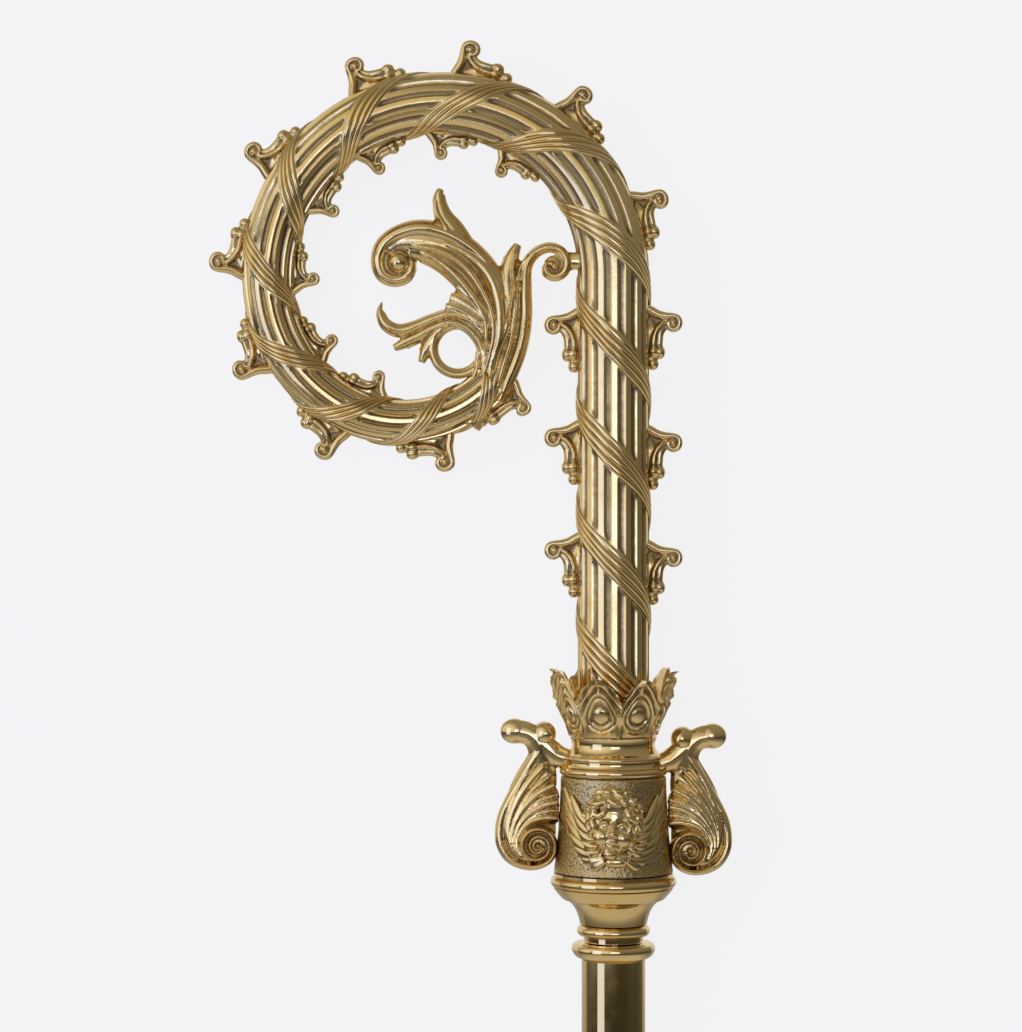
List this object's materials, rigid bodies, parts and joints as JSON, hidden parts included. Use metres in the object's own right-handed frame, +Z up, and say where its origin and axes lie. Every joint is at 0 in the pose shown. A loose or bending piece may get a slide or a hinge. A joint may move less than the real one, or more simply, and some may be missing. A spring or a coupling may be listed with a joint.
{
  "type": "bishop crosier",
  "caption": "Brass bishop's crosier: spiral fluted crook wound with vines and set with crockets, leafy end, knop with scroll brackets, plain tube staff. Lies on its back.",
  "frame": {"origin": "centre of the underside of the bounding box of the crosier as it lies on its back", "axes": "+Y along the staff from the foot towards the crook, +X to the right of the stem as seen from above, away from the curl, +Z up through the front of the knop"},
  "size_m": [0.2094, 1.819, 0.0546],
  "materials": {
    "cast_brass": "polished casting with dark recesses",
    "turned_brass": "mirror polished turning"
  },
  "bodies": {
    "root": {"crook": "cast_brass", "leaf_crown": "cast_brass", "neck_collar": "turned_brass", "knop_drum": "cast_brass", "scroll_bracket_left": "cast_brass", "scroll_bracket_right": "cast_brass", "knop_base": "turned_brass", "staff_ring": "turned_brass", "staff_upper": "turned_brass", "upper_joint_collar": "turned_brass", "staff_middle": "turned_brass", "lower_joint_collar": "turned_brass", "staff_lower": "turned_brass", "foot_ferrule": "turned_brass"}
  },
  "joints": []
}
